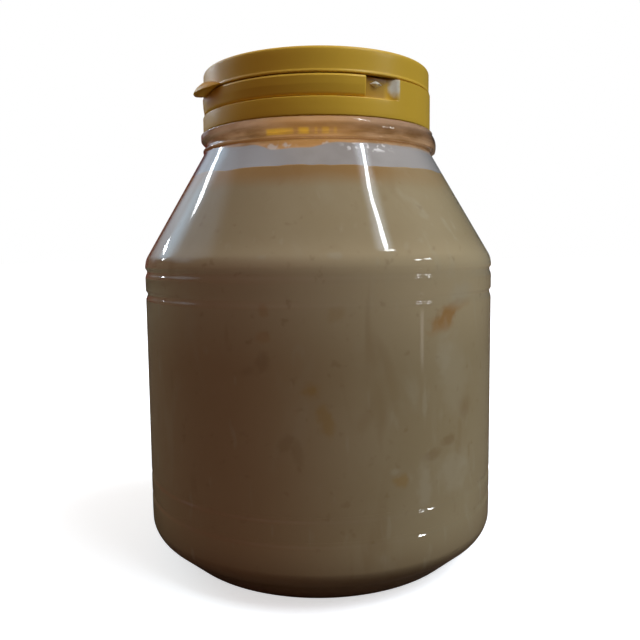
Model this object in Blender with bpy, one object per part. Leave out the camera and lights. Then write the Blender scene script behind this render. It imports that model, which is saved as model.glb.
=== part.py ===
"""A shut honey jar: clear jar with a conical shoulder, its honey, and a yellow cap.

Metres, +Z up. The origin is the middle of the base, on the surface that the jar stands on.
Azimuths are degrees around +Z: 0 is the front (-Y), 90 the right side (+X), -90 the left side (-X).
Sections are (radius, height) points, turned around the Z axis.
"""

import math

import bmesh
import bpy
from mathutils import Matrix, Vector

MM = 0.001

# Turning
SEGMENTS = 48
SECTOR_STEP = 7.5
ARC_STEPS = 3
HIDDEN_ARC_STEPS = 2
WELD = 0.000001
SHARP_ANGLE = math.radians(35)

# Clearance between neighbouring pieces
GAP = 0.3 * MM

# Jar body
BODY_RADIUS = 49.5 * MM
WALL = 1.0 * MM
PUSH_UP_HEIGHT = 4.5 * MM
PUSH_UP_RADIUS = 17.0 * MM
REST_RING_INNER = 31.0 * MM
REST_RING_OUTER = 39.95 * MM
HEEL_RADIUS = 49.4 * MM
HEEL_HEIGHT = 8.5 * MM
WALL_START_HEIGHT = 13.5 * MM
SHOULDER_HEIGHT = 83.05 * MM
CONE_TOP_RADIUS = 33.3 * MM
CONE_TOP_HEIGHT = 111.1 * MM
PUSH_UP_FILLET = 12.0 * MM
FOOT_FILLET = 3.0 * MM
HEEL_FILLET = 5.0 * MM
SHOULDER_FILLET = 6.0 * MM

# Pressed rings around the body, two near the base and two under the shoulder
RING_HEIGHTS = [17.8 * MM, 23.9 * MM, 73.9 * MM, 80.2 * MM]
RING_WIDTH = 2.0 * MM
RING_FLOOR = 0.3 * MM
RING_DEPTH = 0.4 * MM

# Neck, and the collar that shows below the cap
NECK_RADIUS = 29.9 * MM
BORE_RADIUS = 28.9 * MM
NECK_TOP = 126.4 * MM
BORE_BOTTOM = 114.2 * MM
BORE_FILLET = 2.0 * MM
COLLAR_TOP = 117.85 * MM
COLLAR_RADIUS = 33.1 * MM
COLLAR_NOTCH_RADIUS = 31.7 * MM
COLLAR_NOTCH_HEIGHT = 114.65 * MM
COLLAR_BEAD_RADIUS = 32.65 * MM
COLLAR_BEAD_HEIGHT = 113.7 * MM
COLLAR_FOOT_RADIUS = 32.4 * MM
COLLAR_FOOT_HEIGHT = 112.7 * MM
COLLAR_RINGS = 5
COLLAR_SWELL = 0.6
COLLAR_EDGE = 0.4 * MM

# Thread ridge that winds down the collar, from the left round the front to the back
RIDGE_RADIUS = 34.1 * MM
RIDGE_HEIGHT_AT_FRONT = 115.4 * MM
RIDGE_PITCH = 5.3 * MM
RIDGE_HALF_WIDTH = 3.5 * MM
RIDGE_GROWS = (-90.0, 10.0)
RIDGE_FADES = (110.0, 190.0)

# Honey
HONEY_LEVEL = 105.9 * MM
HONEY_CROWN = 0.5 * MM
HONEY_FILLET = 0.6 * MM

# Cap base, with the plug that reaches down into the neck
CAP_RADIUS = 32.4 * MM
EDGE_FILLET = 0.4 * MM
CAP_BASE_BOTTOM = COLLAR_TOP + GAP
CAP_BASE_TOP = 128.2 * MM
CAP_BASE_INNER = NECK_RADIUS + GAP
DECK_UNDERSIDE = NECK_TOP + GAP
DECK_INNER = 24.0 * MM
PLUG_OUTER = BORE_RADIUS - GAP
PLUG_INNER = PLUG_OUTER - WALL
PLUG_BOTTOM = 116.2 * MM
TOOTH_BOTTOM = 113.4 * MM
TOOTH_COUNT = 24
TOOTH_ANGLE = 11.0
TOOTH_MARGIN = 0.1 * MM
TOOTH_ROOT = 0.6 * MM

# Recess around the cap base that holds the tear strip, with a window at each end
TAB_AZIMUTH = -65.0
WINDOW_EDGE = 41.4
WINDOW_SCOOP = 7.4
STRIP_EDGE = 22.4
SHELF_HEIGHT = 122.85 * MM
RECESS_RADIUS = 30.9 * MM

CUTTER_REACH = 2.0 * MM

# Small wedge in the front window
LUG_AZIMUTH = 28.7
LUG_HEIGHT = 126.5 * MM
LUG_HALF_WIDTH = 1.9 * MM
LUG_SQUASH = 0.5
LUG_TIP = 0.3 * MM
LUG_DEPTH = 1.4 * MM
LUG_REACH = 0.9 * MM

# Tear strip
STRIP_OUTER = 32.35 * MM
STRIP_LOWER_OUTER = 32.0 * MM
STRIP_INNER = RECESS_RADIUS + GAP
STRIP_BOTTOM = SHELF_HEIGHT + GAP
STRIP_LOWER_FILLET = 0.4 * MM

# Cap cover
COVER_BOTTOM = CAP_BASE_TOP + GAP
COVER_TOP = 134.85 * MM
COVER_RADIUS = 32.05 * MM
COVER_LIP_RADIUS = 32.2 * MM
COVER_LIP_HEIGHT = 1.0 * MM
COVER_WALL = 1.2 * MM
COVER_TOP_FILLET = 0.9 * MM
COVER_INNER_FILLET = 0.6 * MM

# Thumb tab on the cover's lower edge, a beak that droops outside the tear strip
TAB_CENTRE = -64.0
TAB_HALF_ANGLE = 14.0
TAB_ROOT_RADIUS = 31.3 * MM
TAB_BACK_RADIUS = 32.75 * MM
TAB_UNDERSIDE = 127.0 * MM
TAB_ROOT_BOTTOM = COVER_BOTTOM + 0.1 * MM
TAB_TOP = 131.0 * MM
TAB_BROW = (33.7 * MM, 130.4 * MM)
TAB_CHEEK = (35.3 * MM, 129.0 * MM)
TAB_TIP = (36.2 * MM, 127.6 * MM)
TAB_CHIN_RADIUS = 35.8 * MM
TAB_END_SHARE = 0.12
TAB_TAPER = 1.5
TAB_SECTOR_STEP = 2.0
TAB_EDGE_FILLET = 0.3 * MM
TAB_BEND_FILLET = 1.5 * MM

# Colours (linear), as red, green, blue
CLEAR = (0.90, 0.93, 0.95)
HONEY = (0.33, 0.25, 0.15)
YELLOW = (0.55, 0.30, 0.02)


def clear_scene():
    for obj in list(bpy.data.objects):
        bpy.data.objects.remove(obj, do_unlink=True)


def make_material(name, colour, roughness, transmission=0.0):
    material = bpy.data.materials.new(name)
    material.use_nodes = True
    shader = material.node_tree.nodes["Principled BSDF"]
    shader.inputs["Base Color"].default_value = (*colour, 1.0)
    shader.inputs["Roughness"].default_value = roughness
    shader.inputs["Metallic"].default_value = 0.0
    shader.inputs["Transmission Weight"].default_value = transmission
    return material


def rounded(corners, closed=False, steps=ARC_STEPS):
    """Turn (radius, height, fillet) corners into points, each fillet an arc of chords."""
    points = []
    last = len(corners) - 1
    for index, (radius, height, fillet) in enumerate(corners):
        here = Vector((radius, height))
        if fillet == 0 or (not closed and index in (0, last)):
            points.append(here)
            continue
        before = Vector(corners[index - 1][:2]) - here
        after = Vector(corners[(index + 1) % len(corners)][:2]) - here
        half = before.angle(after) / 2
        bisector = (before.normalized() + after.normalized()).normalized()
        centre = here + bisector * fillet / math.sin(half)
        start = here + before.normalized() * fillet / math.tan(half) - centre
        sweep = start.angle_signed(here + after.normalized() * fillet / math.tan(half) - centre)
        for step in range(steps + 1):
            turn = Matrix.Rotation(-sweep * step / steps, 2)
            points.append(centre + turn @ start)
    return points


def inward(corners, distance):
    """Move an outline's corners inwards by a wall thickness, its fillets with them."""
    moved = []
    last = len(corners) - 1
    for index, (radius, height, fillet) in enumerate(corners):
        here = Vector((radius, height))
        before = here - Vector(corners[index - 1][:2]) if index > 0 else None
        after = Vector(corners[index + 1][:2]) - here if index < last else None
        before = before or after
        after = after or before
        into_before = Vector((-before.y, before.x)).normalized()
        into_after = Vector((-after.y, after.x)).normalized()
        mitre = (into_before + into_after) / (1 + into_before.dot(into_after))
        turns_in = before.cross(after) > 0
        if fillet:
            fillet = fillet - distance if turns_in else fillet + distance
        place = here + mitre * distance
        moved.append((place.x, place.y, fillet))
    return moved


def spun(points, closed=False):
    """Turn a section all the way round Z. An open section starts and ends on the axis."""
    bm = bmesh.new()
    verts = [bm.verts.new((0, -point.x, point.y)) for point in points]
    pairs = list(zip(verts, verts[1:]))
    if closed:
        pairs.append((verts[-1], verts[0]))
    edges = [bm.edges.new(pair) for pair in pairs]
    bmesh.ops.spin(
        bm, geom=verts + edges, cent=(0, 0, 0), axis=(0, 0, 1), dvec=(0, 0, 0),
        angle=math.tau, steps=SEGMENTS, use_merge=True, use_duplicate=False,
    )
    bmesh.ops.remove_doubles(bm, verts=bm.verts, dist=WELD)
    bmesh.ops.recalc_face_normals(bm, faces=bm.faces)
    return bm


def sector(points, start, end, step):
    """Turn a closed section from one azimuth to another, with flat ends."""
    bm = bmesh.new()
    face = bm.faces.new([bm.verts.new((0, -point.x, point.y)) for point in points])
    geometry = list(face.verts) + list(face.edges) + [face]
    bmesh.ops.rotate(bm, verts=face.verts, matrix=Matrix.Rotation(math.radians(start), 3, "Z"))
    bmesh.ops.spin(
        bm, geom=geometry, cent=(0, 0, 0), axis=(0, 0, 1), dvec=(0, 0, 0),
        angle=math.radians(end - start), steps=math.ceil((end - start) / step),
        use_duplicate=False,
    )
    bmesh.ops.recalc_face_normals(bm, faces=bm.faces)
    return bm


def radius_of(vert):
    return math.hypot(vert.co.x, vert.co.y)


def azimuth_of(vert):
    return math.degrees(math.atan2(vert.co.x, -vert.co.y))


def set_radius(vert, radius):
    vert.co.xy = vert.co.xy.normalized() * radius


def eased(value, start, end):
    share = min(max((value - start) / (end - start), 0), 1)
    return share * share * (3 - 2 * share)


def add_object(bm, name, material):
    mesh = bpy.data.meshes.new(name)
    bm.to_mesh(mesh)
    bm.free()
    mesh.materials.append(material)
    mesh.shade_smooth()
    mesh.set_sharp_from_angle(angle=SHARP_ANGLE)
    obj = bpy.data.objects.new(name, mesh)
    bpy.context.scene.collection.objects.link(obj)
    return obj


def combine(target, tool, operation):
    """Join a shape onto an object or cut it away, and apply the result."""
    modifier = target.modifiers.new(operation.title(), "BOOLEAN")
    modifier.operation = operation
    modifier.solver = "EXACT"
    modifier.object = tool
    bpy.context.view_layer.update()
    evaluated = target.evaluated_get(bpy.context.evaluated_depsgraph_get())
    mesh = bpy.data.meshes.new_from_object(evaluated)
    target.modifiers.remove(modifier)
    target.data = mesh
    bpy.data.objects.remove(tool, do_unlink=True)


def body_corners():
    """Outside of the jar, from the middle of the underside to the top of the cone."""
    return [
        (0, PUSH_UP_HEIGHT, 0),
        (PUSH_UP_RADIUS, PUSH_UP_HEIGHT, PUSH_UP_FILLET),
        (REST_RING_INNER, 0, FOOT_FILLET),
        (REST_RING_OUTER, 0, FOOT_FILLET),
        (HEEL_RADIUS, HEEL_HEIGHT, HEEL_FILLET),
        (BODY_RADIUS, WALL_START_HEIGHT, 0),
        (BODY_RADIUS, SHOULDER_HEIGHT, SHOULDER_FILLET),
        (CONE_TOP_RADIUS, CONE_TOP_HEIGHT, 0),
    ]


def ring_corners():
    """The pressed rings, each a shallow groove with a flat floor."""
    corners = []
    for height in RING_HEIGHTS:
        corners.append((BODY_RADIUS, height - RING_WIDTH / 2, 0))
        corners.append((BODY_RADIUS - RING_DEPTH, height - RING_FLOOR / 2, 0))
        corners.append((BODY_RADIUS - RING_DEPTH, height + RING_FLOOR / 2, 0))
        corners.append((BODY_RADIUS, height + RING_WIDTH / 2, 0))
    return corners


def collar_corners():
    """Outside of the collar and neck, from the cone up to the mouth."""
    corners = [
        (COLLAR_FOOT_RADIUS, COLLAR_FOOT_HEIGHT, 0),
        (COLLAR_BEAD_RADIUS, COLLAR_BEAD_HEIGHT, 0),
        (COLLAR_NOTCH_RADIUS, COLLAR_NOTCH_HEIGHT, 0),
    ]
    rise = (COLLAR_TOP - COLLAR_NOTCH_HEIGHT) / COLLAR_RINGS
    for ring in range(1, COLLAR_RINGS):
        swell = eased(ring / COLLAR_RINGS, 0, COLLAR_SWELL)
        radius = COLLAR_NOTCH_RADIUS + (COLLAR_RADIUS - COLLAR_NOTCH_RADIUS) * swell
        corners.append((radius, COLLAR_NOTCH_HEIGHT + rise * ring, 0))
    corners.append((COLLAR_RADIUS - COLLAR_EDGE, COLLAR_TOP, 0))
    corners.append((NECK_RADIUS, COLLAR_TOP, 0))
    corners.append((NECK_RADIUS, NECK_TOP, 0))
    return corners


def ridge_radius(azimuth, height):
    """Radius of the thread ridge's surface at a place on the collar."""
    winding = azimuth if azimuth > RIDGE_GROWS[0] else azimuth + 360
    centre = RIDGE_HEIGHT_AT_FRONT - RIDGE_PITCH * winding / 360
    off_centre = min(abs(height - centre) / RIDGE_HALF_WIDTH, 1)
    size = eased(winding, *RIDGE_GROWS) * (1 - eased(winding, *RIDGE_FADES))
    crest = (RIDGE_RADIUS - COLLAR_NOTCH_RADIUS) * math.sqrt(1 - off_centre * off_centre)
    return COLLAR_NOTCH_RADIUS + crest * size


def make_jar(material):
    wall = body_corners()
    inside = inward(wall, WALL)
    outside = wall[:6] + ring_corners() + wall[6:] + collar_corners()
    bore = [(BORE_RADIUS, NECK_TOP, 0), (BORE_RADIUS, BORE_BOTTOM, BORE_FILLET)]
    lining = rounded(bore + inside[::-1], steps=HIDDEN_ARC_STEPS)
    bm = spun(rounded(outside) + lining)
    for vert in bm.verts:
        on_collar = radius_of(vert) > COLLAR_NOTCH_RADIUS - WELD
        if on_collar and COLLAR_FOOT_HEIGHT - WELD < vert.co.z < COLLAR_TOP - WELD:
            ridge = ridge_radius(azimuth_of(vert), vert.co.z)
            set_radius(vert, max(radius_of(vert), ridge))
    return add_object(bm, "jar", material)


def make_honey(material):
    """Everything inside the wall up to the level, with a low crown on top."""
    fill = inward(body_corners(), WALL + GAP)
    shoulder, cone_top = fill[-2], fill[-1]
    share = (HONEY_LEVEL - shoulder[1]) / (cone_top[1] - shoulder[1])
    rim = shoulder[0] + share * (cone_top[0] - shoulder[0])
    corners = fill[:-1] + [
        (rim, HONEY_LEVEL, HONEY_FILLET),
        (rim / 2, HONEY_LEVEL + HONEY_CROWN, 0),
        (0, HONEY_LEVEL + HONEY_CROWN, 0),
    ]
    return add_object(spun(rounded(corners, steps=HIDDEN_ARC_STEPS)), "honey", material)


def recess_cutter(material):
    """The space round the cap base for the tear strip. Its floor sweeps out at both ends."""
    reach = CUTTER_REACH
    section = [
        Vector((RECESS_RADIUS, SHELF_HEIGHT)),
        Vector((CAP_RADIUS + reach, SHELF_HEIGHT)),
        Vector((CAP_RADIUS + reach, CAP_BASE_TOP + reach)),
        Vector((RECESS_RADIUS, CAP_BASE_TOP + reach)),
    ]
    half = WINDOW_EDGE - TAB_AZIMUTH
    bm = sector(section, TAB_AZIMUTH - half, TAB_AZIMUTH + half, WINDOW_SCOOP / 2)
    sweep = CAP_RADIUS + reach / 2 - RECESS_RADIUS
    for vert in bm.verts:
        if radius_of(vert) < RECESS_RADIUS + WELD:
            away = abs((azimuth_of(vert) - TAB_AZIMUTH + 180) % 360 - 180)
            share = max(away - half + WINDOW_SCOOP, 0) / WINDOW_SCOOP
            set_radius(vert, RECESS_RADIUS + sweep * share * share)
    return add_object(bm, "recess", material)


def plug_teeth(material):
    """The row of teeth round the plug's lower edge."""
    section = [
        Vector((PLUG_INNER + TOOTH_MARGIN, TOOTH_BOTTOM)),
        Vector((PLUG_OUTER - TOOTH_MARGIN, TOOTH_BOTTOM)),
        Vector((PLUG_OUTER - TOOTH_MARGIN, PLUG_BOTTOM + TOOTH_ROOT)),
        Vector((PLUG_INNER + TOOTH_MARGIN, PLUG_BOTTOM + TOOTH_ROOT)),
    ]
    teeth = bmesh.new()
    for index in range(TOOTH_COUNT):
        start = index * 360 / TOOTH_COUNT - TOOTH_ANGLE / 2
        tooth = sector(section, start, start + TOOTH_ANGLE, TOOTH_ANGLE)
        mesh = bpy.data.meshes.new("tooth")
        tooth.to_mesh(mesh)
        tooth.free()
        teeth.from_mesh(mesh)
        bpy.data.meshes.remove(mesh)
    return add_object(teeth, "teeth", material)


def window_lug(material):
    """A four-sided wedge that stands out of the recess floor."""
    bm = bmesh.new()
    bmesh.ops.create_cone(
        bm, cap_ends=True, segments=4, radius1=LUG_HALF_WIDTH, radius2=LUG_TIP, depth=LUG_DEPTH,
    )
    bmesh.ops.rotate(bm, verts=bm.verts, matrix=Matrix.Rotation(math.radians(90), 3, "X"))
    bmesh.ops.scale(bm, vec=(1, 1, LUG_SQUASH), verts=bm.verts)
    middle = RECESS_RADIUS + LUG_REACH - LUG_DEPTH / 2
    bmesh.ops.translate(bm, vec=(0, -middle, LUG_HEIGHT), verts=bm.verts)
    bmesh.ops.rotate(bm, verts=bm.verts, matrix=Matrix.Rotation(math.radians(LUG_AZIMUTH), 3, "Z"))
    bmesh.ops.recalc_face_normals(bm, faces=bm.faces)
    return add_object(bm, "lug", material)


def make_cap_base(material):
    """Outer wall, deck over the mouth and plug in one piece."""
    corners = [
        (CAP_BASE_INNER, CAP_BASE_BOTTOM, 0),
        (CAP_RADIUS, CAP_BASE_BOTTOM, EDGE_FILLET),
        (CAP_RADIUS, CAP_BASE_TOP, EDGE_FILLET),
        (DECK_INNER, CAP_BASE_TOP, 0),
        (DECK_INNER, DECK_UNDERSIDE, 0),
        (PLUG_INNER, DECK_UNDERSIDE, 0),
        (PLUG_INNER, PLUG_BOTTOM, 0),
        (PLUG_OUTER, PLUG_BOTTOM, 0),
        (PLUG_OUTER, DECK_UNDERSIDE, 0),
        (CAP_BASE_INNER, DECK_UNDERSIDE, 0),
    ]
    base = add_object(spun(rounded(corners, closed=True), closed=True), "cap_base", material)
    combine(base, recess_cutter(material), "DIFFERENCE")
    combine(base, window_lug(material), "UNION")
    combine(base, plug_teeth(material), "UNION")
    return base


def make_tear_strip(material):
    corners = [
        (STRIP_INNER, STRIP_BOTTOM, 0),
        (STRIP_LOWER_OUTER, STRIP_BOTTOM, STRIP_LOWER_FILLET),
        (STRIP_OUTER, CAP_BASE_TOP, EDGE_FILLET),
        (STRIP_INNER, CAP_BASE_TOP, 0),
    ]
    half = STRIP_EDGE - TAB_AZIMUTH
    points = rounded(corners, closed=True)
    bm = sector(points, TAB_AZIMUTH - half, TAB_AZIMUTH + half, SECTOR_STEP)
    return add_object(bm, "tear_strip", material)


def thumb_tab(material):
    """A beak round part of the cover's edge, drawn in towards its ends."""
    section = rounded([
        (TAB_ROOT_RADIUS, TAB_ROOT_BOTTOM, 0),
        (TAB_BACK_RADIUS, TAB_ROOT_BOTTOM, 0),
        (TAB_BACK_RADIUS, TAB_UNDERSIDE, 0),
        (TAB_CHIN_RADIUS, TAB_UNDERSIDE, TAB_EDGE_FILLET),
        (*TAB_TIP, TAB_EDGE_FILLET),
        (*TAB_CHEEK, TAB_BEND_FILLET),
        (*TAB_BROW, TAB_BEND_FILLET),
        (TAB_ROOT_RADIUS, TAB_TOP, 0),
    ], closed=True, steps=HIDDEN_ARC_STEPS)
    start = TAB_CENTRE - TAB_HALF_ANGLE
    end = TAB_CENTRE + TAB_HALF_ANGLE
    bm = sector(section, start, end, TAB_SECTOR_STEP)
    for vert in bm.verts:
        share = min(abs(azimuth_of(vert) - TAB_CENTRE) / TAB_HALF_ANGLE, 1)
        size = TAB_END_SHARE + (1 - TAB_END_SHARE) * (1 - share ** TAB_TAPER)
        if radius_of(vert) > TAB_BACK_RADIUS:
            set_radius(vert, TAB_BACK_RADIUS + (radius_of(vert) - TAB_BACK_RADIUS) * size)
        vert.co.z = TAB_ROOT_BOTTOM + (vert.co.z - TAB_ROOT_BOTTOM) * size
    return add_object(bm, "tab", material)


def make_cap_cover(material):
    """Flat lid with a short skirt, flared at the seam, and the thumb tab."""
    inner = COVER_RADIUS - COVER_WALL
    corners = [
        (0, COVER_TOP, 0),
        (COVER_RADIUS, COVER_TOP, COVER_TOP_FILLET),
        (COVER_RADIUS, COVER_BOTTOM + COVER_LIP_HEIGHT, 0),
        (COVER_LIP_RADIUS, COVER_BOTTOM + COVER_LIP_HEIGHT / 2, 0),
        (COVER_LIP_RADIUS, COVER_BOTTOM, EDGE_FILLET / 2),
        (inner, COVER_BOTTOM, 0),
        (inner, COVER_TOP - COVER_WALL, COVER_INNER_FILLET),
        (0, COVER_TOP - COVER_WALL, 0),
    ]
    cover = add_object(spun(rounded(corners)), "cap_cover", material)
    combine(cover, thumb_tab(material), "UNION")
    return cover


def main():
    clear_scene()
    make_jar(make_material("clear_plastic", CLEAR, 0.05, transmission=1.0))
    make_honey(make_material("honey", HONEY, 0.45))
    make_cap_base(make_material("cap_base_plastic", YELLOW, 0.3))
    make_cap_cover(make_material("cap_cover_plastic", YELLOW, 0.3))
    make_tear_strip(make_material("tear_strip_plastic", YELLOW, 0.3))


main()
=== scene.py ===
# %% [markdown]
# # A shut honey jar
# The photograph shows a clear plastic jar of set honey under a yellow flip-top cap. The CAD model already
# has every size, so this lesson makes the fine pieces that a camera sees: the clear wall with its pressed
# rings and thread ridge, the honey that fills it, the film of honey under the cap, and the cap's three
# mouldings. The first lines load the CAD model as a fixed frame.

# %% Load the frame
import math

import bmesh
import bpy
from mathutils import Matrix, Vector, noise


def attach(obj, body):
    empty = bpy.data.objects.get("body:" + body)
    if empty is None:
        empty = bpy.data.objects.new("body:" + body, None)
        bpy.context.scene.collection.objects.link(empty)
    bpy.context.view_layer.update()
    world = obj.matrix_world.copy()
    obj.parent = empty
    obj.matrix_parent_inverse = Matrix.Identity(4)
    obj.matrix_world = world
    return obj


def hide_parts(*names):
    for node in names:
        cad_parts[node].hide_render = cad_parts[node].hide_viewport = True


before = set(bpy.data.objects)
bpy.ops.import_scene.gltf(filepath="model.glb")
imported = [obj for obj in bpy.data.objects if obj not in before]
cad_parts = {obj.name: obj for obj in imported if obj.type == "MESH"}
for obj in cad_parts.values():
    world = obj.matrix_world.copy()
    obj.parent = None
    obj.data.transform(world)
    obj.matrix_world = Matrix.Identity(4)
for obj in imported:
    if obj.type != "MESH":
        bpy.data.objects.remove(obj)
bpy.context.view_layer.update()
MM = 0.001
print("CAD nodes:", sorted(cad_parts))

# %% [markdown]
# ## The camera
# The place, tilt and lens were worked out from the jar's outline in the photograph: a phone held close, a
# little under the shoulder, that looks five degrees down. A small shift puts the jar where the picture has
# it.

# %% Camera
camera = bpy.data.objects.new("camera", bpy.data.cameras.new("camera"))
bpy.context.scene.collection.objects.link(camera)
camera.data.sensor_width = 36
camera.data.lens = 37.22
camera.data.shift_x = 0.00225
camera.data.shift_y = -0.01569
camera.data.clip_start = 0.01
camera.location = (0, -0.1960, 0.0853)
camera.rotation_euler = [math.radians(angle) for angle in (84.940, 0.622, -0.055)]
bpy.context.scene.camera = camera
print("camera is", round(camera.location.length, 3), "m from the origin")

# %% [markdown]
# ## Shader nodes
# Lamps, floor and finishes are all made of shader nodes. These short functions add a node, fill its sockets
# with numbers or links, and hand back what it puts out, so that the cells below read like sums.

# %% Node helpers
def add(tree, kind, *values, **settings):
    """Add a node. Values fill its sockets in order, as numbers or as links from other sockets."""
    made = tree.nodes.new(kind)
    for name, value in settings.items():
        setattr(made, name, value)
    for socket, value in zip(made.inputs, values):
        if isinstance(value, bpy.types.NodeSocket):
            tree.links.new(value, socket)
        elif value is not None:
            socket.default_value = value
    return made


def calc(tree, operation, *values, clamp=False):
    return add(tree, "ShaderNodeMath", *values, operation=operation, use_clamp=clamp).outputs[0]


def step_up(tree, value, start, end):
    """0 below start, 1 above end, and smooth between them."""
    made = add(tree, "ShaderNodeMapRange", value, start, end, 0.0, 1.0, interpolation_type="SMOOTHSTEP")
    return made.outputs[0]


def band(tree, value, low, high, soft):
    """1 between low and high, with soft edges."""
    rise = step_up(tree, value, low - soft, low + soft)
    fall = step_up(tree, value, high + soft, high - soft)
    return calc(tree, "MULTIPLY", rise, fall)


def mix(tree, share, first, second):
    """Blend two colours."""
    made = tree.nodes.new("ShaderNodeMix")
    made.data_type = "RGBA"
    for name, value in (("Factor_Float", share), ("A_Color", first), ("B_Color", second)):
        socket = next(item for item in made.inputs if item.identifier == name)
        if isinstance(value, bpy.types.NodeSocket):
            tree.links.new(value, socket)
        else:
            socket.default_value = (*value, 1.0) if isinstance(value, tuple) else value
    return next(item for item in made.outputs if item.identifier == "Result_Color")


def speckle(tree, place, scale, detail=2.0, distortion=0.0):
    """Cloudy noise, as a value from 0 to 1."""
    made = add(tree, "ShaderNodeTexNoise", noise_dimensions="3D")
    tree.links.new(place, made.inputs["Vector"])
    made.inputs["Scale"].default_value = scale
    made.inputs["Detail"].default_value = detail
    made.inputs["Distortion"].default_value = distortion
    return made.outputs["Fac"]

# %% [markdown]
# ## Light
# The photograph is dim. A lamp high on the right gives most of the light and the room adds a little brown.
# Thin bright lines down the plastic mirror a tube high on the right and small lights on both sides, and a
# window there lays a pale blue sheen on the shoulder. An HDR picture of a room could do it too, but area
# lamps are easy to move until each highlight lies where the photograph has it. The broad lamps light the
# matt surfaces and the others show only in the gloss, so each can be set by itself.

# %% Lamps
def aim(obj, azimuth, elevation, distance, target=(0, 0, 0.08)):
    """Put an object round the target, turned to face it. Azimuth 0 is the front, 90 the right."""
    turn, rise = math.radians(azimuth), math.radians(elevation)
    away = Vector((math.cos(rise) * math.sin(turn), -math.cos(rise) * math.cos(turn), math.sin(rise)))
    obj.location = Vector(target) + away * distance
    obj.rotation_euler = away.to_track_quat("Z", "Y").to_euler()


def lamp(name, azimuth, elevation, size, power, colour, distance=1.4):
    """A broad area lamp for the matt surfaces, which neither the camera nor the gloss sees."""
    data = bpy.data.lights.new(name, "AREA")
    data.shape = "RECTANGLE"
    data.size, data.size_y = size
    data.energy = power
    data.color = colour
    obj = bpy.data.objects.new(name, data)
    bpy.context.scene.collection.objects.link(obj)
    obj.visible_camera = False
    obj.visible_glossy = False
    obj.visible_transmission = False
    aim(obj, azimuth, elevation, distance)
    return obj


def glint(name, azimuth, elevation, size, power, colour, tilt=0, distance=1.4, core=(0.3, 0.3)):
    """A lamp that shows only in the gloss, turned about its own axis. Beyond its core it fades out."""
    obj = lamp(name, azimuth, elevation, size, power, colour, distance)
    obj.visible_glossy = True
    obj.visible_diffuse = False
    obj.rotation_euler.rotate_axis("Z", math.radians(tilt))
    obj.data.use_nodes = True
    tree = obj.data.node_tree
    across = add(tree, "ShaderNodeSeparateXYZ", add(tree, "ShaderNodeNewGeometry").outputs["Parametric"])
    strength = 1.0
    for axis, share in zip("XY", core):
        off = calc(tree, "ABSOLUTE", calc(tree, "SUBTRACT", across.outputs[axis], 0.5))
        strength = calc(tree, "MULTIPLY", strength, step_up(tree, off, 0.5, share / 2))
    tree.links.new(strength, tree.nodes["Emission"].inputs["Strength"])
    return obj


lamp("key", 70, 50, (1.0, 0.8), 18.6, (0.81, 0.91, 1.0))
lamp("left_behind", -120, 25, (1.0, 1.0), 7, (0.60, 0.91, 1.0))
COOL = (0.93, 0.97, 1.0)
glint("tube_high", 64.0, 58.2, (0.06, 0.12), 0.9, COOL, tilt=-51, core=(0.2, 0.95))
glint("tube_low", 60.3, 53.8, (0.07, 0.145), 1.1, COOL, tilt=-4, core=(0.2, 0.95))
glint("tube_foot", 61.2, 49.6, (0.03, 0.17), 0.34, COOL, tilt=65, core=(0.3, 0.7))
glint("tube_halo", 61.5, 56, (0.32, 0.36), 1.6, (0.75, 0.87, 1.0), tilt=-25, core=(0.05, 0.6))
glint("tube_left", -124.2, 31.8, (0.10, 0.24), 1.6, COOL, tilt=79, core=(0.1, 0.7))
glint("spot_left", -130.6, 19.9, (0.04, 0.12), 0.45, COOL, tilt=-79, core=(0.2, 0.6))
glint("spot_behind", -121, 16, (0.07, 0.14), 0.6, COOL)
glint("window_left", -118, 32, (1.8, 1.0), 4.2, (0.64, 0.83, 1.0), core=(0.5, 0.4))
glint("window_core", -125, 29, (0.5, 0.9), 2.2, (0.53, 0.78, 1.0), core=(0.1, 0.5))
glint("window_edge", -140, 21, (0.75, 0.8), 1.3, (0.7, 0.85, 1.0))
glint("pair_near", 67.5, 24, (0.14, 0.09), 1.0, COOL, core=(0.5, 0.3))
glint("pair_far", 75.5, 24, (0.14, 0.09), 1.0, COOL, core=(0.5, 0.3))
glint("card", 57.7, -10, (0.010, 0.04), 0.0018, (1.0, 0.93, 0.9), distance=0.193)

# %% [markdown]
# ## Room and floor
# Both are white to the camera, as the photograph's ground is. Everything else sees a dim room instead: a
# brown wall on the left, a cooler one on the right and a paler ceiling. The floor shows a soft shadow near
# the jar and is plain white further out, where it glows by itself.

# %% World
scene = bpy.context.scene
scene.view_settings.view_transform = "Standard"
scene.world = bpy.data.worlds.new("room")
scene.world.use_nodes = True
room = scene.world.node_tree
room.nodes.clear()
towards = add(room, "ShaderNodeSeparateXYZ", add(room, "ShaderNodeTexCoord").outputs["Generated"])
WALL_LEFT = (0.12, 0.02, 0.02)
WALL_RIGHT = (0.02, 0.03, 0.04)
CEILING = (0.32, 0.24, 0.21)
walls = mix(room, step_up(room, towards.outputs["X"], -0.4, 0.4), WALL_LEFT, WALL_RIGHT)
inside = mix(room, step_up(room, towards.outputs["Z"], 0.3, 0.8), walls, CEILING)
inside = add(room, "ShaderNodeBackground", inside)
backdrop = add(room, "ShaderNodeBackground", (1.0, 1.0, 1.0, 1.0))
seen = add(room, "ShaderNodeLightPath").outputs["Is Camera Ray"]
either = add(room, "ShaderNodeMixShader", seen, inside.outputs[0], backdrop.outputs[0])
add(room, "ShaderNodeOutputWorld", either.outputs[0])

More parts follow.
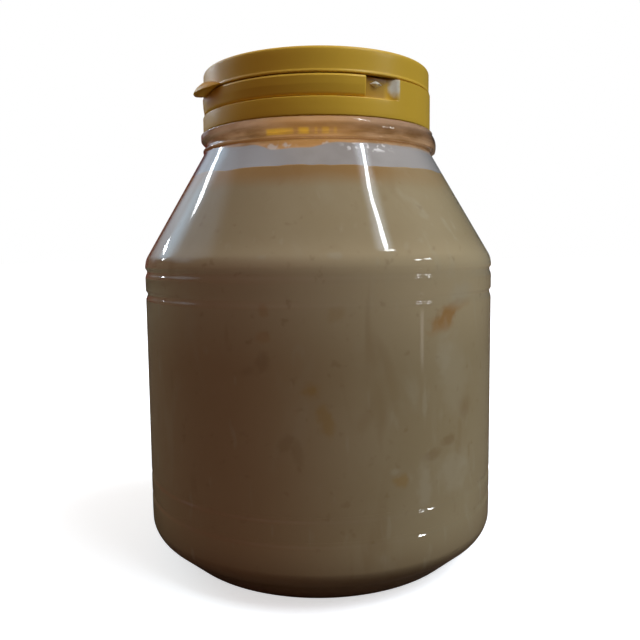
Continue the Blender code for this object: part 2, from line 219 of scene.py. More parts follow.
# %% Floor
bm = bmesh.new()
bmesh.ops.create_circle(bm, cap_ends=True, segments=96, radius=6)
floor_mesh = bpy.data.meshes.new("floor")
bm.to_mesh(floor_mesh)
bm.free()
floor = bpy.data.objects.new("floor", floor_mesh)
scene.collection.objects.link(floor)
floor_look = bpy.data.materials.new("floor")
floor_look.use_nodes = True
tree = floor_look.node_tree
tree.nodes.clear()
spot = add(tree, "ShaderNodeTexCoord").outputs["Object"]
away = add(tree, "ShaderNodeVectorMath", spot, operation="LENGTH").outputs["Value"]
glow = calc(tree, "ADD", 0.62, calc(tree, "MULTIPLY", 0.38, step_up(tree, away, 0.04, 0.22)))
shine = add(tree, "ShaderNodeEmission", (1.0, 1.0, 1.0, 1.0), glow)
pale = add(tree, "ShaderNodeBsdfDiffuse", (0.9, 0.9, 0.9, 1.0))
both = add(tree, "ShaderNodeAddShader", shine.outputs[0], pale.outputs[0])
dim = add(tree, "ShaderNodeBsdfDiffuse", (0.10, 0.07, 0.05, 1.0))
seen = add(tree, "ShaderNodeLightPath").outputs["Is Camera Ray"]
either = add(tree, "ShaderNodeMixShader", seen, dim.outputs[0], both.outputs[0])
add(tree, "ShaderNodeOutputMaterial", either.outputs[0])
floor.data.materials.append(floor_look)

# %% [markdown]
# ## Turned pieces
# Every piece of the jar but the tab is round, so each starts as a wire outline beside the axis, like the
# edge of a lathe template. A vertex bevel rounds the outline's corners, and a spin sweeps it round. A curve
# with a screw modifier would give the same form, but a bmesh lets later steps pick out columns and rows and
# move them. Long straight parts are cut into rows, because smooth shading would bend the light over a whole
# long face.

# %% Outlines
ROW = 1.5


def draw(corners, closed=False, segments=6):
    """A wire outline in the plane of the axis. A corner is a radius, a height and a rounding radius, in mm."""
    bm = bmesh.new()
    points = [Vector((0, -radius, height)) * MM for radius, height, _ in corners]
    verts = [bm.verts.new(point) for point in points]
    chain = verts + verts[:1] if closed else verts
    for start, end in zip(chain, chain[1:]):
        bm.edges.new((start, end))
    for index, (vert, (_, _, rounding)) in enumerate(zip(verts, corners)):
        if rounding:
            before = points[index] - points[index - 1]
            after = points[(index + 1) % len(points)] - points[index]
            cut = rounding * MM * math.tan(before.angle(after) / 2)
            bmesh.ops.bevel(
                bm, geom=[vert], offset=cut, offset_type="OFFSET", affect="VERTICES",
                segments=segments, profile=0.5, material=-1,
            )
    for edge in [edge for edge in bm.edges if edge.calc_length() > 2 * ROW * MM]:
        bmesh.ops.subdivide_edges(bm, edges=[edge], cuts=int(edge.calc_length() / (ROW * MM)))
    return bm


def inward(corners, distance):
    """The same outline, moved inwards by a wall thickness in mm. Its roundings shrink or grow to match."""
    moved = []
    last = len(corners) - 1
    for index, (radius, height, rounding) in enumerate(corners):
        here = Vector((radius, height))
        before = here - Vector(corners[index - 1][:2]) if index > 0 else None
        after = Vector(corners[index + 1][:2]) - here if index < last else None
        before, after = before or after, after or before
        side_before = Vector((-before.y, before.x)).normalized()
        side_after = Vector((-after.y, after.x)).normalized()
        mitre = (side_before + side_after) / (1 + side_before.dot(side_after))
        if rounding:
            rounding += -distance if before.cross(after) > 0 else distance
        place = here + mitre * distance
        moved.append((place.x, place.y, rounding))
    return moved


# %% Spinning and shading
def spin(bm, angle=360, columns=360, start=0):
    """Sweep an outline or a face round Z. A full turn is closed at its seam and its poles."""
    bmesh.ops.rotate(bm, verts=bm.verts[:], matrix=Matrix.Rotation(math.radians(start), 3, "Z"))
    bmesh.ops.spin(
        bm, geom=bm.verts[:] + bm.edges[:] + bm.faces[:], cent=(0, 0, 0), axis=(0, 0, 1), dvec=(0, 0, 0),
        angle=math.radians(angle), steps=columns, use_merge=angle == 360, use_duplicate=False,
    )
    bmesh.ops.remove_doubles(bm, verts=bm.verts[:], dist=0.000001)
    bmesh.ops.recalc_face_normals(bm, faces=bm.faces[:])


def radius_of(vert):
    return vert.co.xy.length / MM


def azimuth_of(vert):
    return math.degrees(math.atan2(vert.co.x, -vert.co.y))


def height_of(vert):
    return vert.co.z / MM


def set_radius(vert, radius):
    vert.co.xy = vert.co.xy.normalized() * radius * MM


def eased(value, start, end):
    share = min(max((value - start) / (end - start), 0), 1)
    return share * share * (3 - 2 * share)


def make_piece(bm, name, slot, *nodes, sharp=40):
    """Turn a bmesh into an object that rides on the jar and stands for CAD nodes."""
    mesh = bpy.data.meshes.new(name)
    bm.to_mesh(mesh)
    bm.free()
    mesh.shade_smooth()
    mesh.set_sharp_from_angle(angle=math.radians(sharp))
    piece = bpy.data.objects.new(name, mesh)
    bpy.context.scene.collection.objects.link(piece)
    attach(piece, "root")
    if nodes:
        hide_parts(*nodes)
    mesh.calc_loop_triangles()
    print(name, "has", len(mesh.loop_triangles), "triangles")
    return piece


# %% [markdown]
# ## The clear jar
# The real jar is blown from clear plastic: a push-up under the base, a bevelled heel, two pressed rings
# near the base and two under the shoulder, a conical shoulder, and a thick collar with a thread ridge that
# winds down it. The wall needs an outside and an inside, 1 mm apart, so that light bends in it as in the
# real one.

# %% The wall's outline
BODY = 49.5
WALL = 1.0
wall_outline = [
    (0, 4.5, 0),
    (17, 4.5, 12),
    (31, 0, 3),
    (39.95, 0, 3),
    (49.4, 8.5, 5),
    (BODY, 13.5, 0),
    (BODY, 83.05, 6),
    (33.3, 111.1, 0),
]
ring_outline = []
for height, slope, outer, inner in (
    (18.05, 0.69, 0.95, 0.4), (24.05, 0.69, 0.95, 0.4), (74.2, 0.95, 2.1, 2.1), (80.3, 0.95, 2.1, 2.1),
):
    ring_outline += [
        (BODY, height - 0.5 - slope, outer),
        (BODY - 0.45, height - 0.5, inner),
        (BODY - 0.45, height + 0.1, 0.3),
        (BODY, height + 0.8, 0.5),
    ]
print(len(ring_outline) // 4, "pressed rings")

# %% The collar's outline
NOTCH = (31.7, 114.65)
COLLAR_TOP = 118.0
COLLAR = 33.1
COLLAR_ROWS = 16
collar_outline = [(32.4, 112.7, 0.5), (32.65, 113.7, 0.4), (*NOTCH, 0.4)]
for row in range(1, COLLAR_ROWS):
    share = row / COLLAR_ROWS
    swell = (COLLAR - NOTCH[0]) * eased(share, 0, 0.6)
    collar_outline.append((NOTCH[0] + swell, NOTCH[1] + (COLLAR_TOP - NOTCH[1]) * share, 0))
collar_outline += [(COLLAR - 0.1, COLLAR_TOP, 0.4), (29.9, COLLAR_TOP, 0.3), (29.9, 126.4, 0.3)]


def ridge_radius(azimuth, height):
    """How far out the thread ridge stands at a place on the collar. It winds down as the azimuth grows."""
    winding = azimuth if azimuth > -90 else azimuth + 360
    off_centre = min(abs(height - 115.4 + 5.3 * winding / 360) / 3.5, 1)
    size = eased(winding, -90, 10) * (1 - eased(winding, 110, 190))
    return NOTCH[0] + (34.1 - NOTCH[0]) * math.sqrt(1 - off_centre ** 2) * size


# %% Spin the jar
lining = [(28.9, 126.4, 0.2), (28.9, 114.2, 2)] + inward(wall_outline, WALL)[::-1]
bm = draw(wall_outline[:6] + ring_outline + wall_outline[6:] + collar_outline + lining)
spin(bm, columns=240)
for vert in bm.verts:
    if radius_of(vert) > NOTCH[0] - 0.1 and 112.8 < height_of(vert) < COLLAR_TOP - 0.3:
        set_radius(vert, max(radius_of(vert), ridge_radius(azimuth_of(vert), height_of(vert))))
jar_shell = make_piece(bm, "jar_shell", "jar", "jar")

# %% [markdown]
# ## The honey
# Set honey fills the jar to just under the collar. It is pressed against the wall, so the piece reaches a
# little way into the plastic: a gap of air there would mirror like a bubble. Its upper edge is uneven, as
# it is where honey was poured and then set, and the moves follow a smooth noise, which is the same each
# time.

# %% Fill the jar
LEVEL = 105.9
fill_outline = inward(wall_outline, WALL - 0.15)
shoulder, cone_top = (*fill_outline[-2][:2], 7), fill_outline[-1]
fill_outline[-2] = shoulder
share = (LEVEL - shoulder[1]) / (cone_top[1] - shoulder[1])
rim = shoulder[0] + share * (cone_top[0] - shoulder[0])
slope = (cone_top[0] - shoulder[0]) / (cone_top[1] - shoulder[1])
bm = draw(fill_outline[:-1] + [(rim, LEVEL, 0.8), (rim / 2, LEVEL + 0.5, 20), (0, LEVEL + 0.5, 0)])
spin(bm, columns=240)
for vert in bm.verts:
    if height_of(vert) > LEVEL - 1:
        turn = math.radians(azimuth_of(vert))
        place = Vector((math.sin(turn), math.cos(turn), 0)) * 4
        lift = 0.55 * noise.noise(place) + 0.25 * noise.noise(place * 3.1)
        vert.co.z += lift * MM
        set_radius(vert, radius_of(vert) + lift * slope)
honey_fill = make_piece(bm, "honey_fill", "honey", "honey")

# %% [markdown]
# ## The film under the cap
# Above the level the wall isn't clean: a milky bloom covers it, and amber honey that the plug has squeezed
# out fills the thread. It is a thin ring inside the wall, which follows the collar half a millimetre under
# the surface, so that it shows through the plastic as it does in the real jar.

# %% Film on the wall
FILM_DEPTH = 0.55
film_back = inward(wall_outline[-2:], WALL + 0.04)
film_front = inward(wall_outline[-2:], WALL - 0.08)


def on_cone(outline, height):
    """The point of a straight cone outline at a height."""
    low, high = outline
    share = (height - low[1]) / (high[1] - low[1])
    return (low[0] + share * (high[0] - low[0]), height, 0)


collar_film = [(radius - FILM_DEPTH, height, 0) for radius, height, _ in collar_outline[:-3]]
film = [on_cone(film_front, 104.4), (*film_front[-1][:2], 0.5)] + collar_film
film += [(32.5, 117.6, 0.3), (28.8, 117.6, 0), (28.8, 114.1, 1.5)]
film += [(*film_back[-1][:2], 0.5), on_cone(film_back, 104.4)]
bm = draw(film, closed=True)
spin(bm, columns=240)
neck_film = make_piece(bm, "neck_film", "honey")

# %% [markdown]
# ## The cap's lower part
# One yellow moulding closes the jar: a skirt, a recess for the tear strip with a scooped window at each
# end, a deck over the mouth, and a plug with teeth that goes down into the neck. The recess could be cut
# with a boolean, but it is only a step in the outline that fades out, so the columns beyond the windows are
# moved back out.

# %% Cap skirt
CAP = 32.4
SHELF = 122.85
RECESS = 30.9
TAB_AZIMUTH = -65
skirt_outline = [
    (30.2, 118.15, 0.1),
    (CAP, 118.15, 0.4),
    (CAP, SHELF, 0.3),
    (RECESS, SHELF, 0.3),
    (RECESS, 128.2, 0.3),
    (24, 128.2, 0.2),
    (24, 126.7, 0),
    (27.6, 126.7, 0),
    (27.6, 116.2, 0),
    (28.6, 116.2, 0),
    (28.6, 126.7, 0),
    (30.2, 126.7, 0),
]
bm = draw(skirt_outline, closed=True)
spin(bm)
for vert in bm.verts:
    if radius_of(vert) > RECESS - 0.4 and height_of(vert) > SHELF - 0.4:
        away = abs((azimuth_of(vert) - TAB_AZIMUTH + 180) % 360 - 180)
        share = max(away - 99, 0) / 7.4
        set_radius(vert, min(CAP, radius_of(vert) + 2.5 * share * share))
print("window runs from azimuth 22 to 41, and its twin is behind")

# %% Plug teeth
plug_end = [
    face for face in bm.faces
    if abs(face.normal.z) > 0.9 and abs(face.calc_center_median().z - 116.2 * MM) < 0.1 * MM
]
teeth = [face for face in plug_end if (azimuth_of(face.verts[0]) + 366) % 15 < 11]
grown = bmesh.ops.extrude_face_region(bm, geom=teeth)
tips = [item for item in grown["geom"] if isinstance(item, bmesh.types.BMVert)]
bmesh.ops.translate(bm, verts=tips, vec=(0, 0, -2.8 * MM))
bmesh.ops.delete(bm, geom=teeth, context="FACES_ONLY")
cap_skirt = make_piece(bm, "cap_skirt", "cap", "cap_base")

# %% Wedge in the window
bm = bmesh.new()
bmesh.ops.create_cone(bm, cap_ends=True, segments=4, radius1=2.5 * MM, radius2=0.5 * MM, depth=1.4 * MM)
bmesh.ops.bevel(
    bm, geom=bm.edges[:], offset=0.12 * MM, offset_type="OFFSET", affect="EDGES",
    segments=2, profile=0.5, material=-1,
)
bmesh.ops.rotate(bm, verts=bm.verts[:], matrix=Matrix.Rotation(math.radians(90), 3, "X"))
bmesh.ops.scale(bm, vec=(1, 1, 0.5), verts=bm.verts[:])
bmesh.ops.translate(bm, vec=(0, -31.1 * MM, 126.5 * MM), verts=bm.verts[:])
bmesh.ops.rotate(bm, verts=bm.verts[:], matrix=Matrix.Rotation(math.radians(28.7), 3, "Z"))
window_wedge = make_piece(bm, "window_wedge", "cap")

# %% [markdown]
# ## The tear strip
# The strip sits in the recess and is pulled off to open the cap for the first time. Its face leans in
# towards its lower edge, which the photograph shows as a shade that deepens downwards.

# %% Strip
strip_outline = [
    (31.2, 123.15, 0.1),
    (31.7, 123.15, 0.15),
    (32.0, 123.7, 1.0),
    (32.28, 125.8, 3.0),
    (32.38, 127.7, 0.3),
    (32.1, 128.2, 0.3),
    (31.2, 128.2, 0.1),
]
bm = draw(strip_outline, closed=True)
bmesh.ops.contextual_create(bm, geom=bm.edges[:])
spin(bm, angle=174.8, columns=175, start=-152.4)
ends = [face for face in bm.faces if len(face.verts) > 4]
bmesh.ops.bevel(
    bm, geom=list({edge for face in ends for edge in face.edges}), offset=0.2 * MM, offset_type="OFFSET",
    affect="EDGES", segments=2, profile=0.5, material=-1,
)
tear_band = make_piece(bm, "tear_band", "cap", "tear_strip")

# %% [markdown]
# ## The lid
# A flat lid with a short skirt that flares at the seam, and a thumb tab at the left. The top isn't in the
# photograph, and gets the plain low rim of such lids. The tab is a beak: a short section swept round part
# of the edge, whose ends are drawn in towards the skirt.

# %% Lid and its tab
lid_outline = [
    (0, 134.6, 0),
    (28.3, 134.6, 0.6),
    (28.9, 134.85, 0.6),
    (32.05, 134.85, 0.9),
    (32.05, 129.3, 0.4),
    (32.2, 128.9, 0.3),
    (32.2, 128.5, 0.2),
    (30.85, 128.5, 0.1),
    (30.85, 133.65, 0.6),
    (0, 133.65, 0),
]
bm = draw(lid_outline)
spin(bm)
lid = make_piece(bm, "lid", "cap", "cap_cover")

# %% Thumb tab
TAB_CENTRE = -64
TAB_HALF = 14
TAB_BACK = 32.75
UNDERSIDE = 128.6
tab_outline = [
    (31.3, UNDERSIDE, 0),
    (TAB_BACK, UNDERSIDE, 0.3),
    (TAB_BACK, 127.0, 0.3),
    (35.8, 127.0, 0.4),
    (36.2, 127.6, 0.4),
    (35.3, 129.0, 1.5),
    (33.7, 130.4, 1.5),
    (31.3, 131.0, 0),
]
bm = draw(tab_outline, closed=True)
bmesh.ops.contextual_create(bm, geom=bm.edges[:])
spin(bm, angle=2 * TAB_HALF, columns=56, start=TAB_CENTRE - TAB_HALF)
for vert in bm.verts:
    share = min(abs(azimuth_of(vert) - TAB_CENTRE) / TAB_HALF, 1)
    size = 0.12 + 0.88 * (1 - share ** 1.5)
    if radius_of(vert) > TAB_BACK:
        set_radius(vert, TAB_BACK + (radius_of(vert) - TAB_BACK) * size)
    vert.co.z = (UNDERSIDE + (height_of(vert) - UNDERSIDE) * size) * MM
thumb_tab = make_piece(bm, "thumb_tab", "cap")

# %% [markdown]
# ## Places on the jar
# All the patterns below are placed by where a point is on the jar: its azimuth round the axis and its
# height. One node group works those out from Object coordinates, and every finish uses it. A second group
# draws a ragged patch at a place, for the spots in the honey and the painted highlight and glow on the cap.

# %% A finish for a piece
def material_for(piece, name, roughness):
    """A new material on a piece, with its tree and its shader."""
    made = bpy.data.materials.new(name)
    made.use_nodes = True
    piece.data.materials.append(made)
    shader = made.node_tree.nodes["Principled BSDF"]
    shader.inputs["Roughness"].default_value = roughness
    return made.node_tree, shader


# %% The place group
place_group = bpy.data.node_groups.new("Place on the jar", "ShaderNodeTree")
place_group.interface.new_socket("Point", in_out="INPUT", socket_type="NodeSocketVector")
place_group.interface.new_socket("Azimuth", in_out="OUTPUT", socket_type="NodeSocketFloat")
place_group.interface.new_socket("Height", in_out="OUTPUT", socket_type="NodeSocketFloat")
group_in = place_group.nodes.new("NodeGroupInput")
group_out = place_group.nodes.new("NodeGroupOutput")
parts = add(place_group, "ShaderNodeSeparateXYZ", group_in.outputs["Point"])
front = calc(place_group, "MULTIPLY", parts.outputs["Y"], -1.0)
angle = calc(place_group, "ARCTAN2", parts.outputs["X"], front)
place_group.links.new(calc(place_group, "DEGREES", angle), group_out.inputs["Azimuth"])
place_group.links.new(calc(place_group, "DIVIDE", parts.outputs["Z"], MM), group_out.inputs["Height"])


def placed(tree):
    """Object coordinates, and the azimuth in degrees and the height in mm."""
    point = tree.nodes.new("ShaderNodeTexCoord").outputs["Object"]
    group = tree.nodes.new("ShaderNodeGroup")
    group.node_tree = place_group
    tree.links.new(point, group.inputs["Point"])
    return point, group.outputs["Azimuth"], group.outputs["Height"]


def rightwards(tree, azimuth):
    """-1 at the left, 1 at the right, and 0 in front and behind, so that a broad change of colour has no seam."""
    return calc(tree, "SINE", calc(tree, "RADIANS", azimuth))


# %% The blotch group
blotch_group = bpy.data.node_groups.new("Blotch", "ShaderNodeTree")
for name in ("Azimuth", "Height", "Middle azimuth", "Middle height", "Half width", "Half height", "Lean", "Noise"):
    blotch_group.interface.new_socket(name, in_out="INPUT", socket_type="NodeSocketFloat")
blotch_group.interface.new_socket("Mask", in_out="OUTPUT", socket_type="NodeSocketFloat")
given = blotch_group.nodes.new("NodeGroupInput").outputs
result = blotch_group.nodes.new("NodeGroupOutput")
up = calc(blotch_group, "SUBTRACT", given["Height"], given["Middle height"])
up = calc(blotch_group, "DIVIDE", up, given["Half height"])
along = calc(blotch_group, "SUBTRACT", given["Azimuth"], given["Middle azimuth"])
along = calc(blotch_group, "DIVIDE", along, given["Half width"])
along = calc(blotch_group, "SUBTRACT", along, calc(blotch_group, "MULTIPLY", up, given["Lean"]))
up_squared = calc(blotch_group, "MULTIPLY", up, up)
squares = calc(blotch_group, "ADD", up_squared, calc(blotch_group, "MULTIPLY", along, along))
ragged = calc(blotch_group, "ADD", calc(blotch_group, "SQRT", squares), given["Noise"])
blotch_group.links.new(step_up(blotch_group, ragged, 1.25, 0.35), result.inputs["Mask"])


def blotch(tree, azimuth, height, place, half_size, lean=0.0, noise_value=0.0):
    """A soft patch round a place (azimuth, height). Its edge is pushed in and out by a noise value."""
    group = tree.nodes.new("ShaderNodeGroup")
    group.node_tree = blotch_group
    values = (azimuth, height, *place, *half_size, lean, noise_value)
    for socket, value in zip(group.inputs, values):
        if isinstance(value, bpy.types.NodeSocket):
            tree.links.new(value, socket)
        else:
            socket.default_value = value
    return group.outputs["Mask"]


# %% [markdown]
# ## Clear plastic
# A transmitting shader bends the light at each wall. Real blown jars are never quite even, so a faint bump
# makes the highlights waver. Lamps and soft light pass through the jar as if it weren't there: light bent
# through a wall is very noisy to render, and the honey behind it would be speckled.

# %% Clear plastic
tree, shader = material_for(jar_shell, "clear_plastic", 0.04)
point, azimuth, height = placed(tree)
shader.inputs["Base Color"].default_value = (0.94, 0.96, 0.97, 1)
shader.inputs["Transmission Weight"].default_value = 1.0
shader.inputs["IOR"].default_value = 1.52
ripple = speckle(tree, point, 70, 2.0)
bump = tree.nodes.new("ShaderNodeBump")
bump.inputs["Strength"].default_value = 0.15
bump.inputs["Distance"].default_value = 0.0004
tree.links.new(ripple, bump.inputs["Height"])
tree.links.new(bump.outputs["Normal"], shader.inputs["Normal"])
jar_shell.visible_shadow = False
jar_shell.visible_diffuse = False

# %% [markdown]
# ## Set honey
# Crystallised honey is an opaque cream-brown. It is marbled: paler wisps that run up and down, a few
# orange-brown spots where syrup has separated, and a darker, clearer fringe along the top edge. Noise gives
# the marbling all round, and the spots that stand out in the photograph have their own places.

# %% Honey
CREAM = (0.43, 0.335, 0.19)
tree, shader = material_for(honey_fill, "set_honey", 0.5)
point, azimuth, height = placed(tree)
shader.inputs["Specular IOR Level"].default_value = 0.0
clouds = speckle(tree, point, 38, 4.0)
colour = mix(tree, step_up(tree, clouds, 0.35, 0.68), (0.40, 0.305, 0.165), CREAM)
side = rightwards(tree, azimuth)
# Painted light: the left side below the shoulder is painted browner, standing in for warm fill light from the
# left.
painted_warm_fill = calc(tree, "MULTIPLY", step_up(tree, side, 0.5, -0.5), step_up(tree, height, 84.0, 60.0))
colour = mix(tree, calc(tree, "MULTIPLY", painted_warm_fill, 0.75), colour, (0.42, 0.265, 0.13))
# Painted light: a paler belt under the shoulder, where the shoulder's light falls off into the darker wall.
painted_light_belt = calc(tree, "MULTIPLY", step_up(tree, height, 56.0, 78.0), step_up(tree, height, 90.0, 80.0))
colour = mix(tree, calc(tree, "MULTIPLY", painted_light_belt, 0.8), colour, (0.56, 0.435, 0.255))
stretch = add(tree, "ShaderNodeMapping", point, vector_type="POINT")
stretch.inputs["Scale"].default_value = (1.0, 1.0, 0.28)
wisps = speckle(tree, stretch.outputs[0], 95, 3.0, 1.2)
right_side = calc(tree, "ADD", 0.12, calc(tree, "MULTIPLY", 0.38, step_up(tree, side, 0.17, 0.71)))
wisp_share = calc(tree, "MULTIPLY", step_up(tree, wisps, 0.55, 0.72), right_side)
colour = mix(tree, wisp_share, colour, (0.50, 0.43, 0.29))
mottle = speckle(tree, stretch.outputs[0], 120, 2.0, 0.6)
colour = mix(tree, calc(tree, "MULTIPLY", step_up(tree, mottle, 0.62, 0.76), 0.3), colour, (0.30, 0.19, 0.08))
# Painted shade: the honey darkens towards the heel, where less light reaches it. Right at the base it is painted
# paler again, as painted light.
painted_heel_shade = calc(tree, "MULTIPLY", step_up(tree, height, 18.0, 7.0), 0.5)
colour = mix(tree, painted_heel_shade, colour, (0.26, 0.175, 0.09))
colour = mix(tree, step_up(tree, height, 9.0, 2.5), colour, (0.56, 0.40, 0.24))

# %% Flecks and spots in the honey
ORANGE = (0.42, 0.21, 0.06)
YOLK = (0.40, 0.245, 0.08)
BROWN = (0.27, 0.165, 0.07)
PALE = (0.50, 0.42, 0.28)
flecks = speckle(tree, point, 380, 2.0)
colour = mix(tree, calc(tree, "MULTIPLY", step_up(tree, flecks, 0.62, 0.78), 0.3), colour, BROWN)
grains = speckle(tree, stretch.outputs[0], 420, 1.0)
colour = mix(tree, calc(tree, "MULTIPLY", step_up(tree, grains, 0.66, 0.80), 0.25), colour, PALE)
ragged = calc(tree, "MULTIPLY", calc(tree, "SUBTRACT", speckle(tree, point, 320, 3.0), 0.5), 1.6)
spots = [
    ((38.3, 69.0), (5.5, 3.6), 0.5, 0.8, ORANGE),
    ((43.0, 71.8), (6.0, 1.8), 0.6, 0.3, ORANGE),
    ((45.0, 74.5), (6.0, 3.4), 0.4, 0.5, PALE),
    ((22.6, 31.5), (2.6, 1.8), 0.0, 0.6, YOLK),
    ((21.0, 33.9), (1.6, 0.9), 0.0, 0.4, PALE),
    ((-9.3, 41.3), (2.2, 2.4), 0.3, 0.3, BROWN),
    ((-2.2, 53.8), (3.0, 2.4), 0.0, 0.7, YOLK),
    ((1.4, 47.4), (2.4, 4.2), -0.4, 0.6, YOLK),
    ((4.5, 71.2), (3.0, 1.8), 0.0, 0.25, YOLK),
    ((-14.9, 71.9), (1.6, 1.6), 0.0, 0.25, ORANGE),
    ((-15.0, 66.0), (2.2, 1.6), 0.0, 0.25, ORANGE),
    ((-15.1, 60.5), (2.2, 2.6), 0.0, 0.35, BROWN),
    ((-19.5, 58.0), (3.5, 1.4), 0.0, 0.25, BROWN),
    ((-6.0, 39.0), (2.0, 4.5), -0.3, 0.3, BROWN),
    ((34.2, 36.6), (4.0, 1.6), 0.4, 0.4, BROWN),
    ((39.9, 39.1), (3.4, 1.6), 0.4, 0.45, BROWN),
    ((47.7, 46.4), (3.4, 3.2), 0.0, 0.4, BROWN),
    ((41.9, 54.9), (7.0, 12.0), -0.3, 0.25, PALE),
    ((42.3, 31.1), (8.0, 6.0), 0.0, 0.4, PALE),
    ((30.5, 49.0), (0.9, 6.0), 0.0, 0.45, PALE),
    ((37.5, 61.5), (3.4, 6.0), 0.0, 0.3, PALE),
    ((30.5, 29.0), (2.6, 7.0), 0.0, 0.45, PALE),
    ((-15.4, 84.0), (1.6, 0.7), 0.0, 0.4, PALE),
    ((4.5, 84.3), (2.0, 0.9), 0.0, 0.5, PALE),
    ((95.0, 33.0), (24.0, 24.0), 0.0, 0.45, ORANGE),
]
for place, half_size, lean, strength, spot_colour in spots:
    mask = blotch(tree, azimuth, height, place, half_size, lean, ragged)
    colour = mix(tree, calc(tree, "MULTIPLY", mask, strength), colour, spot_colour)
print(len(spots), "spots in the honey")

# %% Fringe along the top edge
edge = calc(tree, "ADD", height, calc(tree, "MULTIPLY", speckle(tree, point, 60, 2.0), 3.0))
weaker = calc(tree, "MULTIPLY", step_up(tree, side, 0.26, 0.71), 0.5)
fringe = calc(tree, "MULTIPLY", step_up(tree, edge, 101.0, 106.0), calc(tree, "SUBTRACT", 0.85, weaker))
# The fringe is the honey's own colour; on the left it is painted lighter, as painted light.
fringe_and_painted_light = mix(tree, step_up(tree, side, -0.17, -0.64), (0.38, 0.20, 0.06), (0.48, 0.27, 0.09))
colour = mix(tree, fringe, colour, fringe_and_painted_light)
tree.links.new(colour, shader.inputs["Base Color"])

# %% [markdown]
# ## The film
# Two finishes on one ring. Below, a milky bloom, painted bluer on the left and lighter on the right as
# painted light. Above, amber honey with a tongue that hangs down at the front, a brown crease of painted
# shade under the thread, and bright blocks of painted light where the teeth of the yellow plug glow
# through. The blocks repeat three times round the jar, because the azimuth is folded into thirds.

# %% Film
tree, shader = material_for(neck_film, "neck_film", 0.3)
point, azimuth, height = placed(tree)
shader.inputs["Specular IOR Level"].default_value = 0.3
cloud = speckle(tree, point, 110, 3.0)
tongue = band(tree, azimuth, -24.0, 3.0, 6.0)
side = rightwards(tree, azimuth)
climb = step_up(tree, side, -0.59, -0.83)
edge = calc(tree, "ADD", 110.9, calc(tree, "MULTIPLY", cloud, 1.4))
edge = calc(tree, "SUBTRACT", edge, calc(tree, "MULTIPLY", tongue, 1.5))
edge = calc(tree, "ADD", edge, calc(tree, "MULTIPLY", climb, 0.8))
above = calc(tree, "SUBTRACT", height, edge)
amber = step_up(tree, above, -0.25, 0.25)

layers = add(tree, "ShaderNodeMapping", point, vector_type="POINT")
layers.inputs["Scale"].default_value = (1.0, 1.0, 4.0)
lines = speckle(tree, layers.outputs[0], 160, 3.0)
amber_colour = mix(tree, step_up(tree, lines, 0.3, 0.7), (0.20, 0.105, 0.04), (0.35, 0.21, 0.11))
pinkish = calc(tree, "MULTIPLY", step_up(tree, height, 115.4, 116.8), 0.5)
amber_colour = mix(tree, pinkish, amber_colour, (0.31, 0.20, 0.135))
glow = calc(tree, "MULTIPLY", band(tree, azimuth, -22.0, 16.0, 12.0), 0.6)
amber_colour = mix(tree, glow, amber_colour, (0.34, 0.165, 0.04))
folded = calc(tree, "SUBTRACT", calc(tree, "FLOORED_MODULO", calc(tree, "ADD", azimuth, 60.0), 120.0), 60.0)
# Painted light: bright blocks stand in for the lit teeth of the yellow plug seen through the film.
painted_tooth_glow = 0.0
block_spans = ((-22.6, -10.2, 1.0), (-7.9, -3.4, 1.0), (-0.6, 0.2, 0.7), (2.4, 5.4, 0.7), (7.6, 8.8, 0.5))
for low, high, strength in block_spans:
    block = calc(tree, "MULTIPLY", band(tree, folded, low, high, 0.8), strength)
    painted_tooth_glow = calc(tree, "ADD", painted_tooth_glow, block)
painted_tooth_glow = calc(tree, "MULTIPLY", painted_tooth_glow, band(tree, height, 114.1, 115.4, 0.3))
painted_tooth_glow = calc(tree, "MULTIPLY", painted_tooth_glow, step_up(tree, cloud, 0.1, 0.6), clamp=True)
amber_colour = mix(tree, painted_tooth_glow, amber_colour, (0.50, 0.28, 0.03))
# Painted shade: a dark brown line along the crease under the thread, where the notch darkens the view through the
# plastic.
painted_crease_shade = calc(tree, "MULTIPLY", band(tree, height, 112.4, 113.4, 0.3), step_up(tree, lines, 0.1, 0.4))
amber_colour = mix(tree, calc(tree, "MULTIPLY", painted_crease_shade, 0.95), amber_colour, (0.16, 0.065, 0.015))
bubble_noise = calc(tree, "MULTIPLY", calc(tree, "SUBTRACT", speckle(tree, point, 620, 2.0), 0.5), 4.0)
bubbles = (((-19.5, 110.6), (3.4, 1.0)), ((-12.0, 110.8), (2.2, 0.8)), ((3.5, 110.9), (1.4, 0.9)))
for place, half_size in bubbles:
    bubble = blotch(tree, azimuth, height, place, half_size, 0.0, bubble_noise)
    amber_colour = mix(tree, calc(tree, "MULTIPLY", bubble, 0.8), amber_colour, (0.33, 0.29, 0.26))

bloom_and_painted_light = mix(tree, step_up(tree, cloud, 0.3, 0.7), (0.19, 0.17, 0.155), (0.23, 0.21, 0.195))
# The bloom's cloudy tone is its own. Painted light makes it bluer on the left, as a painted sheen, and lighter on
# the right, where the lamp falls.
bloom_and_painted_light = mix(tree, step_up(tree, side, -0.05, -0.45), bloom_and_painted_light, (0.24, 0.235, 0.24))
bloom_and_painted_light = mix(tree, step_up(tree, side, 0.26, 0.87), bloom_and_painted_light, (0.29, 0.27, 0.255))
crystals = calc(tree, "MULTIPLY", band(tree, height, 109.5, 111.6, 0.5), band(tree, azimuth, 13.0, 32.0, 5.0))
crystals = calc(tree, "MULTIPLY", crystals, step_up(tree, speckle(tree, point, 800, 1.0), 0.50, 0.60))
bloom_and_painted_light = mix(tree, crystals, bloom_and_painted_light, (0.55, 0.52, 0.50))
colour = mix(tree, amber, bloom_and_painted_light, amber_colour)
tree.links.new(colour, shader.inputs["Base Color"])
cover = calc(tree, "ADD", 0.85, calc(tree, "MULTIPLY", amber, 0.13))
tree.links.new(cover, shader.inputs["Alpha"])

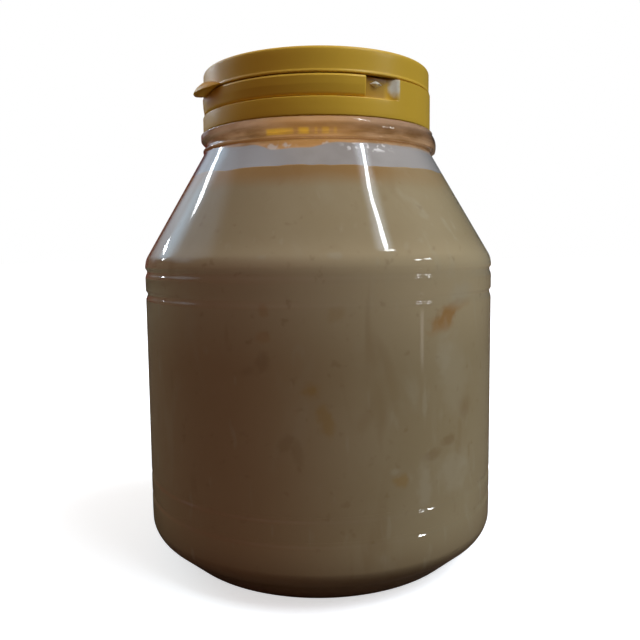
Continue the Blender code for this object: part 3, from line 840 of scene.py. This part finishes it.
# %% [markdown]
# ## Light in the neck
# The film lies under the cap's shadow, and in the photograph it glows all the same, because the clear neck
# carries light to it. Bounces through the wall would be noisy, so one more lamp lights the film and nothing
# else.

# %% Light in the neck
neck_glow = lamp("neck_glow", 6, -3, (0.5, 0.1), 5.1, (1.0, 1.0, 1.0), 0.7)
aim(neck_glow, 6, -3, 0.7, (0, 0, 0.115))
only_film = bpy.data.collections.new("lit by the neck glow")
only_film.objects.link(neck_film)
neck_glow.light_linking.receiver_collection = only_film

# %% [markdown]
# ## Yellow plastic
# The cap is moulded in an opaque, slightly waxy plastic with a satin gloss. Painted highlights make the
# wedge and the scoop at the end of the window whitish, and painted shade darkens the cap's right side. The
# tab is thin, and a little orange glow is painted on it.

# %% Yellow plastic
YELLOW = (0.86, 0.53, 0.052)
PAINTED_HIGHLIGHT = (0.96, 0.92, 0.76)
SHADED = (0.56, 0.32, 0.035)
PAINTED_TAB_GLOW = (0.80, 0.36, 0.01)
for piece in (cap_skirt, window_wedge, tear_band, lid, thumb_tab):
    tree, shader = material_for(piece, "yellow_" + piece.name, 0.32)
    point, azimuth, height = placed(tree)
    shade = speckle(tree, point, 45, 3.0)
    painted_right_shade, darker, lighter = (tuple(share * channel for channel in YELLOW) for share in (0.86, 1.0, 1.1))
    colour = mix(tree, shade, darker, lighter)
    # Painted shade: the cap's right side is darker, standing in for how the light falls across it.
    colour = mix(tree, step_up(tree, rightwards(tree, azimuth), 0.2, 0.75), colour, painted_right_shade)
    # A ragged noise that edges the painted highlights below.
    ragged_noise = calc(tree, "SUBTRACT", speckle(tree, point, 350, 3.0), 0.5)
    if piece == cap_skirt:
        rough_edge = calc(tree, "MULTIPLY", ragged_noise, 1.6)
        # Painted highlight: the scoop at the end of the window is whitish where it catches the light.
        painted_scoop_highlight = blotch(tree, azimuth, height, (38.6, 126.2), (3.2, 2.4), 0.0, rough_edge)
        edged = band(tree, azimuth, 34.0, 40.9, 0.3)
        edged = calc(tree, "MULTIPLY", edged, step_up(tree, height, 123.0, 123.6))
        painted_scoop_highlight = calc(tree, "MULTIPLY", painted_scoop_highlight, edged)
        window = band(tree, azimuth, 22.0, 34.0, 1.5)
        window = calc(tree, "MULTIPLY", window, band(tree, height, 123.2, 128.0, 0.4))
        colour = mix(tree, window, colour, SHADED)
        colour = mix(tree, painted_scoop_highlight, colour, PAINTED_HIGHLIGHT)
    if piece == window_wedge:
        # Painted highlight: the wedge is painted pale all over, so its lower facets show no shade.
        colour = mix(tree, step_up(tree, ragged_noise, -0.4, 0.0), colour, PAINTED_HIGHLIGHT)
    if piece == thumb_tab:
        # Painted light: an orange glow near the tab's middle stands in for light through the thin plastic.
        glow = blotch(tree, azimuth, height, (-56.0, 129.4), (8.0, 1.6), 0.0)
        colour = mix(tree, calc(tree, "MULTIPLY", glow, 0.8), colour, PAINTED_TAB_GLOW)
    tree.links.new(colour, shader.inputs["Base Color"])
    grain = speckle(tree, point, 900, 2.0)
    bump = add(tree, "ShaderNodeBump")
    bump.inputs["Strength"].default_value = 0.1
    bump.inputs["Distance"].default_value = 0.0001
    tree.links.new(grain, bump.inputs["Height"])
    tree.links.new(bump.outputs["Normal"], shader.inputs["Normal"])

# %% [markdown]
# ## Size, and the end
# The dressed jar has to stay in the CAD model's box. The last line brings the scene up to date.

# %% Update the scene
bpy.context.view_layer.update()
